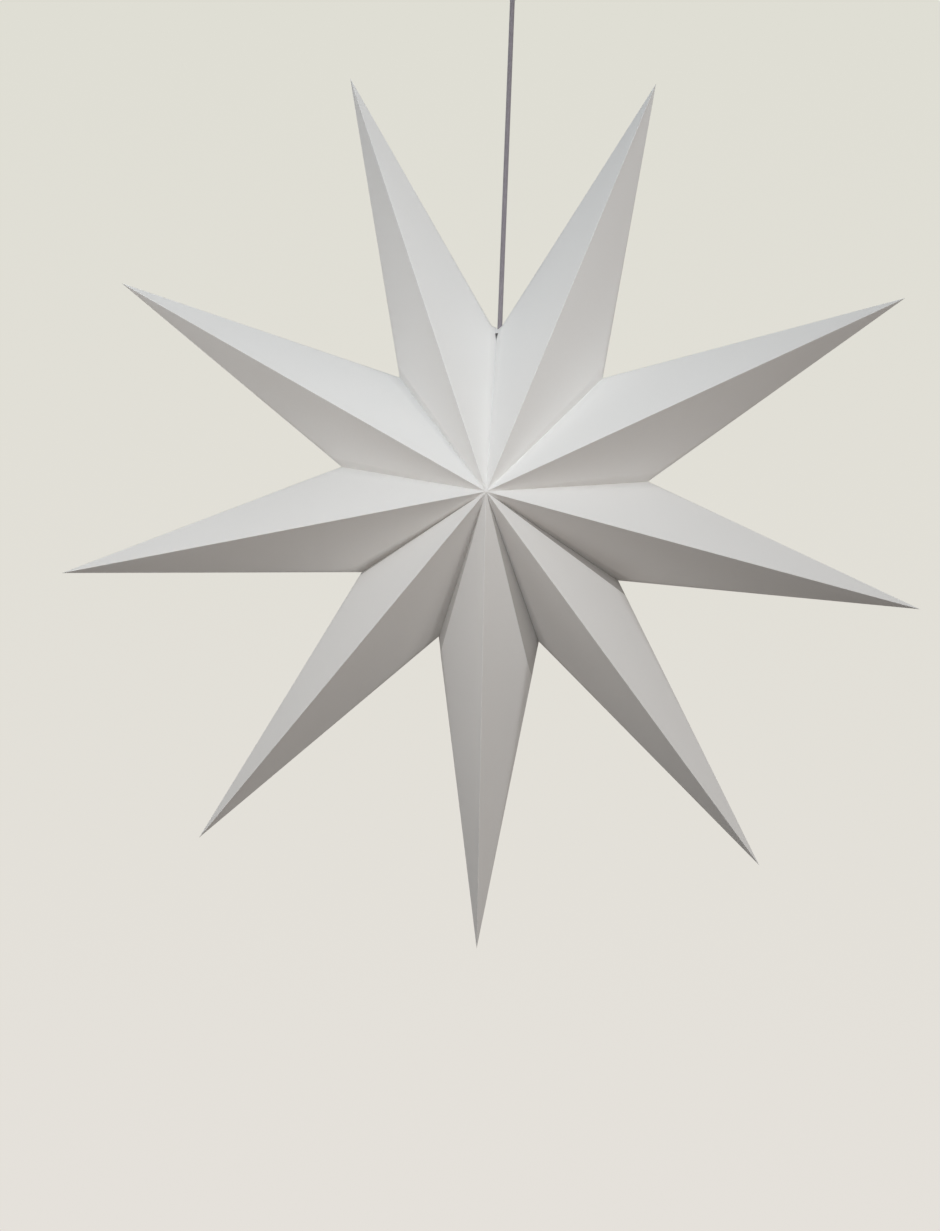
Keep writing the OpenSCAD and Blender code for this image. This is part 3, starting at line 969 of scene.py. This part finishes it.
class STAR_OT_bulb(bpy.types.Operator):
    """Turn the opal globe and the bulb's screw cap"""

    bl_idname = "advent_star.bulb"
    bl_label = "Bulb"

    def execute(self, context):
        sizes = context.scene.star_fitting
        low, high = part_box("bulb")
        screw, lip = sizes.screw_radius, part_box("holder_body")[0].z - 0.001
        self.globe(sizes.bulb_radius, low.z, screw, lip)
        self.screw_cap(screw, lip, high.z, sizes.pitch)
        return {"FINISHED"}

    def globe(self, radius, low, screw, lip):
        """A ball that runs into the neck at 40 degrees above its middle."""
        end, steps = 40, 12
        centre = low + radius
        wide, start = radius * math.cos(math.radians(end)), centre + radius * math.sin(math.radians(end))
        neck = [(screw + (wide - screw) * (1 - i / steps) ** 1.6, start + (lip - start) * i / steps)
                for i in range(steps + 1)]
        profile = arc((0, centre), radius, -90, end - 4, 30) + neck + [(screw * 0.9, lip), (0, lip)]
        profile[0] = (0, low)
        turned("bulb_globe", profile, "opal glass", ["bulb"], 0.0002, False)

    def screw_cap(self, screw, lip, top, pitch):
        """The threaded cap and the contact on its end."""
        profile = [(0, lip), (screw, lip)] + thread(screw, lip + 0.0012, top - 0.006, pitch, 0.0009)
        profile += [(screw * 0.82, top - 0.0042), (0.0078, top - 0.0026), (0.0060, top - 0.0012),
                    (0, top - 0.0012)]
        turned("bulb_screw_cap", profile, "bright sleeve", [], 0.0001, False)
        profile = [(0, top - 0.0015), (0.0046, top - 0.0015), (0.0044, top - 0.0005), (0.0030, top), (0, top)]
        turned("bulb_contact", profile, "contact brass", [], 0.0002, False)


# Ceiling fitting

class STAR_OT_ceiling_fitting(bpy.types.Operator):
    """Make the ceiling cup, its crossbar, side screws, cord grip, nut and terminal block"""

    bl_idname = "advent_star.ceiling_fitting"
    bl_label = "Ceiling fitting"

    def execute(self, context):
        sizes = context.scene.star_fitting
        self.cup(sizes)
        self.crossbar(sizes)
        self.side_screws(sizes)
        self.cord_grip(sizes)
        self.grip_nut()
        self.terminal_block()
        return {"FINISHED"}

    def cup(self, sizes):
        """A moulded cup with a rounded edge, a groove near its rim and a hole through both sides."""
        screw_hole = 0.0022
        radius, height, wall, corner = sizes.cup_radius, sizes.cup_height, sizes.cup_wall, sizes.cup_corner
        centre = (radius - corner, corner - height)
        profile = [(sizes.cup_hole, -height)] + arc(centre, corner, -90, 0, 12)
        profile += groove(radius, -0.0042, -0.0028) + [(radius, 0), (radius - wall, 0)]
        profile += arc(centre, corner - wall, 0, -90, 10) + [(sizes.cup_hole, wall - height)]
        cup = turned_sharp("ceiling_cup_moulded", profile, "white plastic", ["ceiling_cup"])
        cut_rod(cup, screw_hole, 2 * radius + 0.002, crosswise(sizes.screw_height))
        soften(cup, 0.0003)

    def crossbar(self, sizes):
        """A strip of sheet whose ends are folded down, with two slots and a hole in each end."""
        slot_place, slot_radius, hole_radius, thick = 0.030, 0.00225, 0.0021, sizes.bracket
        low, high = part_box("crossbar")
        bm = bmesh.new()
        sheet = bmesh.ops.create_grid(bm, x_segments=1, y_segments=1, size=0.5)["verts"]
        bmesh.ops.scale(bm, vec=(high.x - low.x - 2 * thick, high.y - low.y, 1), verts=sheet)
        bmesh.ops.translate(bm, vec=(0, 0, high.z - thick), verts=sheet)
        ends = [edge for edge in bm.edges if abs(edge.verts[0].co.x - edge.verts[1].co.x) < 1e-6]
        down = bmesh.ops.extrude_edge_only(bm, edges=ends)
        bmesh.ops.translate(bm, vec=(0, 0, low.z - high.z + thick), verts=verts_in(down))
        bmesh.ops.recalc_face_normals(bm, faces=bm.faces)
        if sum(face.normal.z for face in bm.faces) < 0:
            bmesh.ops.reverse_faces(bm, faces=bm.faces)
        folds = [edge for edge in bm.edges if len(edge.link_faces) == 2]
        bmesh.ops.bevel(bm, geom=folds, offset=0.0012, segments=4, profile=0.5, affect="EDGES", material=-1)
        bar = new_object("crossbar_folded", bm, finish("zinc steel"), ["crossbar"])
        shell = bar.modifiers.new("Sheet", "SOLIDIFY")
        shell.thickness = thick
        shell.offset = 1
        shell.use_even_offset = True
        cut_rod(bar, slot_radius, 0.012, shift(-slot_place, 0, 0))
        # The first cut has taken the thickness of the sheet into the mesh
        bar.modifiers.clear()
        cut_rod(bar, slot_radius, 0.012, shift(slot_place, 0, 0))
        cut_rod(bar, hole_radius, 2 * sizes.cup_radius, crosswise(sizes.screw_height))
        soften(bar, 0.00025)

    def side_screws(self, sizes):
        """Two pan head screws, turned, laid along X and mirrored. The right one has a cross recess."""
        radius, point, shank = 0.0019, 0.043, 0.0442
        head_height, rim, recess_depth = 0.0024, 0.0010, 0.0012
        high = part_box("side_screws")[1]
        head, face = high.z - sizes.screw_height, high.x
        seat = face - head_height
        profile = [(0, point), (radius * 0.6, point), (radius, shank), (radius, seat), (head, seat),
                   (head, seat + rim), (head * 0.86, face - 0.0004), (head * 0.5, face), (0, face)]
        bm = bmesh.new()
        turn_profile(bm, profile, 48, False)
        bm.transform(crosswise(sizes.screw_height))
        bmesh.ops.mirror(bm, geom=bm.verts[:] + bm.edges[:] + bm.faces[:], axis="X", merge_dist=-1)
        bmesh.ops.recalc_face_normals(bm, faces=bm.faces)
        screws = new_object("side_screws_pan_head", bm, finish("zinc steel"), ["side_screws"])
        recess = bmesh.new()
        for across, up in ((0.0021, 0.0005), (0.0005, 0.0021)):
            add_block(recess, (face - recess_depth, -across, sizes.screw_height - up),
                      (face + recess_depth, across, sizes.screw_height + up))
        cut(screws, recess)
        soften(screws, 0.00012)

    def cord_grip(self, sizes):
        """A threaded gland through the cup's base, with a flange and a tapered, ribbed sleeve below it."""
        neck, threaded, flange_height = 0.00645, 0.00525, 0.004
        low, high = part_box("cup_grip")
        end, base = sizes.bore + 0.0012, -sizes.cup_height
        sleeve = ribs(7, base - 0.0048, -0.0025, neck, end, 0.0006, (-0.0013, -0.0016, -0.0022))
        profile = [(sizes.bore, low.z), (end, low.z)] + sleeve[::-1]
        profile += [(neck, base - flange_height), (high.x, base - flange_height), (high.x, base),
                    (threaded, base)]
        profile += thread(threaded, base + 0.001, high.z, 0.0012, 0.0003) + [(sizes.bore, high.z)]
        turned("cup_grip_moulded", profile, "white plastic", ["cup_grip"], 0.0002)

    def grip_nut(self):
        """The hexagon nut on the gland."""
        bore = 0.00545
        low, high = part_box("grip_nut")
        middle, height = shift(0, 0, (low.z + high.z) / 2), high.z - low.z
        bm = bmesh.new()
        add_rod(bm, high.x, height, middle, 6)
        nut = new_object("grip_nut_hex", bm, finish("zinc steel"), ["grip_nut"])
        cut_rod(nut, bore, height + 0.002, middle, 48)
        soften(nut, 0.0004)

    def terminal_block(self):
        """A moulded block for two wires, with a waist between them and four clamp screws from below."""
        wire_place, clamp_place = 0.006, 0.0042
        wire_radius, shaft_radius, screw_radius, half_waist = 0.0021, 0.0022, 0.0020, 0.0008
        low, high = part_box("terminal_block")
        bm = bmesh.new()
        add_block(bm, low, high)
        block = new_object("terminal_block_moulded", bm, finish("natural nylon"),
                           ["terminal_block"])
        wire_height = (low.z + high.z) / 2 + 0.002
        screws = bmesh.new()
        for x in (-wire_place, wire_place):
            lengthwise = shift(x, 0, wire_height) @ Matrix.Rotation(math.pi / 2, 4, "X")
            cut_rod(block, wire_radius, 0.02, lengthwise)
            for y in (-clamp_place, clamp_place):
                cut_rod(block, shaft_radius, 0.008, shift(x, y, low.z))
                add_rod(screws, screw_radius, 0.003, shift(x, y, low.z + 0.0032), 24)
        waist = bmesh.new()
        for y in (low.y, high.y):
            add_block(waist, (-half_waist, y - 0.002, low.z - 0.001), (half_waist, y + 0.002, high.z + 0.001))
        cut(block, waist)
        soften(block, 0.0004)
        soften(new_object("terminal_clamp_screws", screws, finish("zinc steel"), []), 0.0002)


# Stage

# Glows of the room's light: azimuth from the front towards the right, elevation, and colour
WORLD_GLOWS = [
    (45, 45, (0.78, 0.78, 0.765)),
    (90, 0, (0.33, 0.275, 0.24)),
    (0, 90, (0.18, 0.18, 0.18)),
    (0, -90, (0.06, 0.05, 0.04)),
] + [
    (azimuth, elevation, glow)
    for azimuth in (135, 180, 225)
    for elevation, glow in ((-45, (0.18, 0.165, 0.15)), (0, (0.305, 0.30, 0.295)), (45, (0.305, 0.30, 0.295)))
]
# Lamps: name, distance, azimuth, elevation, power in watts and colour
SOFT_LAMPS = [
    ("high_front", 1.3, 351, 26, 5.85, (0.81, 0.92, 1.0)),
    ("low_front", 0.8, 345, 0, 1.45, (1.0, 0.83, 0.70)),
    ("front_right", 2.1, 40, 10, 5.2, (1.0, 0.92, 0.85)),
    ("low_left", 1.3, 287, 2, 2.5, (1.0, 0.97, 0.93)),
]


class STAR_OT_stage(bpy.types.Operator):
    """Set up the pale floor, the soft lamps, the light of the room and the plain background"""

    bl_idname = "advent_star.stage"
    bl_label = "Stage"

    def execute(self, context):
        self.make_floor()
        self.make_world(context)
        self.make_lamps(context)
        context.scene.view_settings.view_transform = "Standard"
        return {"FINISHED"}

    def make_floor(self):
        """A round floor that fades out, pale where it is seen and darker for the light it throws back."""
        radius, height, fade_start, fade_end = 1.7, -1.9, 0.7, 1.68
        bm = bmesh.new()
        bmesh.ops.create_circle(bm, cap_ends=True, segments=96, radius=radius)
        bmesh.ops.translate(bm, vec=(0, 0, height), verts=bm.verts)
        floor = add_mesh("floor", bm)
        material, tree, shader = new_material("pale floor")
        tree.nodes.remove(shader)
        flat = stretched(tree, object_place(tree), (1, 1, 0))
        distance = add_node(tree, "VectorMath", {0: flat}, operation="LENGTH").outputs["Value"]
        shade = blend_colours(tree, seen_directly(tree), (0.30, 0.29, 0.28, 1), (0.86, 0.84, 0.80, 1))
        mix_shaders(tree, rise_between(tree, distance, fade_start, fade_end, "SMOOTHSTEP"),
                    add_node(tree, "BsdfDiffuse", {"Color": shade}), add_node(tree, "BsdfTransparent", {}),
                    tree.nodes["Material Output"])
        floor.data.materials.append(material)

    def make_world(self, context):
        """Soft light from the world, and a plain background that only cameras, gloss and glass see."""
        back_start, back_end = -0.24, 0.28
        colours = context.scene.star_colours
        world = bpy.data.worlds.new("soft room")
        context.scene.world = world
        world.use_nodes = True
        tree = world.node_tree
        tree.nodes.clear()
        towards = add_node(tree, "TexCoord", {}).outputs["Generated"]
        total = (0, 0, 0)
        for azimuth, elevation, glow in WORLD_GLOWS:
            total = self.add_glow(tree, towards, direction(azimuth, elevation), glow, total)
        share = rise_between(tree, parts_of(tree, towards)["Z"], back_start, back_end)
        back = blend_colours(tree, share, colours.back_low, colours.back_top)
        mix_shaders(tree, seen_directly(tree), add_node(tree, "Background", {"Color": total}),
                    add_node(tree, "Background", {"Color": back}), add_node(tree, "OutputWorld", {}))

    def add_glow(self, tree, towards, middle, glow, total):
        """Adds a soft glow of the room round one direction to the colour so far."""
        narrowness = 6
        dot = add_node(tree, "VectorMath", {0: towards, 1: middle}, operation="DOT_PRODUCT").outputs["Value"]
        level = math_node(tree, "POWER", math_node(tree, "MAXIMUM", dot, 0), narrowness)
        node = add_node(tree, "VectorMath", {0: level, 1: glow, 2: total}, operation="MULTIPLY_ADD")
        return node.outputs[0]

    def make_lamps(self, context):
        """Large soft lamps round the front of the star, which cameras don't see."""
        lamp_size = 0.9
        centre = Vector((0, 0, context.scene.star_sizes.centre_height))
        for name, distance, azimuth, elevation, power, tint in SOFT_LAMPS:
            data = bpy.data.lights.new(name, "AREA")
            data.shape = "DISK"
            data.size = lamp_size
            data.energy = power
            data.color = tint
            away = direction(azimuth, elevation)
            lamp = add_object(name, data)
            lamp.location = centre + distance * away
            lamp.rotation_euler = away.to_track_quat("Z", "Y").to_euler()
            lamp.visible_camera = False


# Panel and start

class STAR_PT_panel(bpy.types.Panel):
    """Lists the pieces of the star in the sidebar"""

    bl_label = "Advent star"
    bl_idname = "STAR_PT_panel"
    bl_space_type = "VIEW_3D"
    bl_region_type = "UI"
    bl_category = "Advent star"

    def draw(self, context):
        for operator in OPERATORS:
            self.layout.operator(operator.bl_idname)


GROUPS = {"star_sizes": StarSizes, "star_fitting": FittingSizes, "star_colours": StarColours}
OPERATORS = [STAR_OT_camera, STAR_OT_cord, STAR_OT_points, STAR_OT_clips, STAR_OT_lampholder, STAR_OT_bulb,
             STAR_OT_ceiling_fitting, STAR_OT_stage]


def register():
    """Makes the classes known and gives the scene its sizes and colours."""
    for cls in [*GROUPS.values(), *OPERATORS, STAR_PT_panel]:
        bpy.utils.register_class(cls)
    for name, cls in GROUPS.items():
        setattr(bpy.types.Scene, name, PointerProperty(type=cls))


def unregister():
    """Takes back what register has done."""
    for name in GROUPS:
        delattr(bpy.types.Scene, name)
    for cls in reversed([*GROUPS.values(), *OPERATORS, STAR_PT_panel]):
        bpy.utils.unregister_class(cls)


def main():
    """Makes every piece in order."""
    register()
    bpy.ops.advent_star.camera()
    bpy.ops.advent_star.cord()
    bpy.ops.advent_star.points()
    bpy.ops.advent_star.clips()
    bpy.ops.advent_star.lampholder()
    bpy.ops.advent_star.bulb()
    bpy.ops.advent_star.ceiling_fitting()
    bpy.ops.advent_star.stage()


if __name__ == "__main__":
    main()
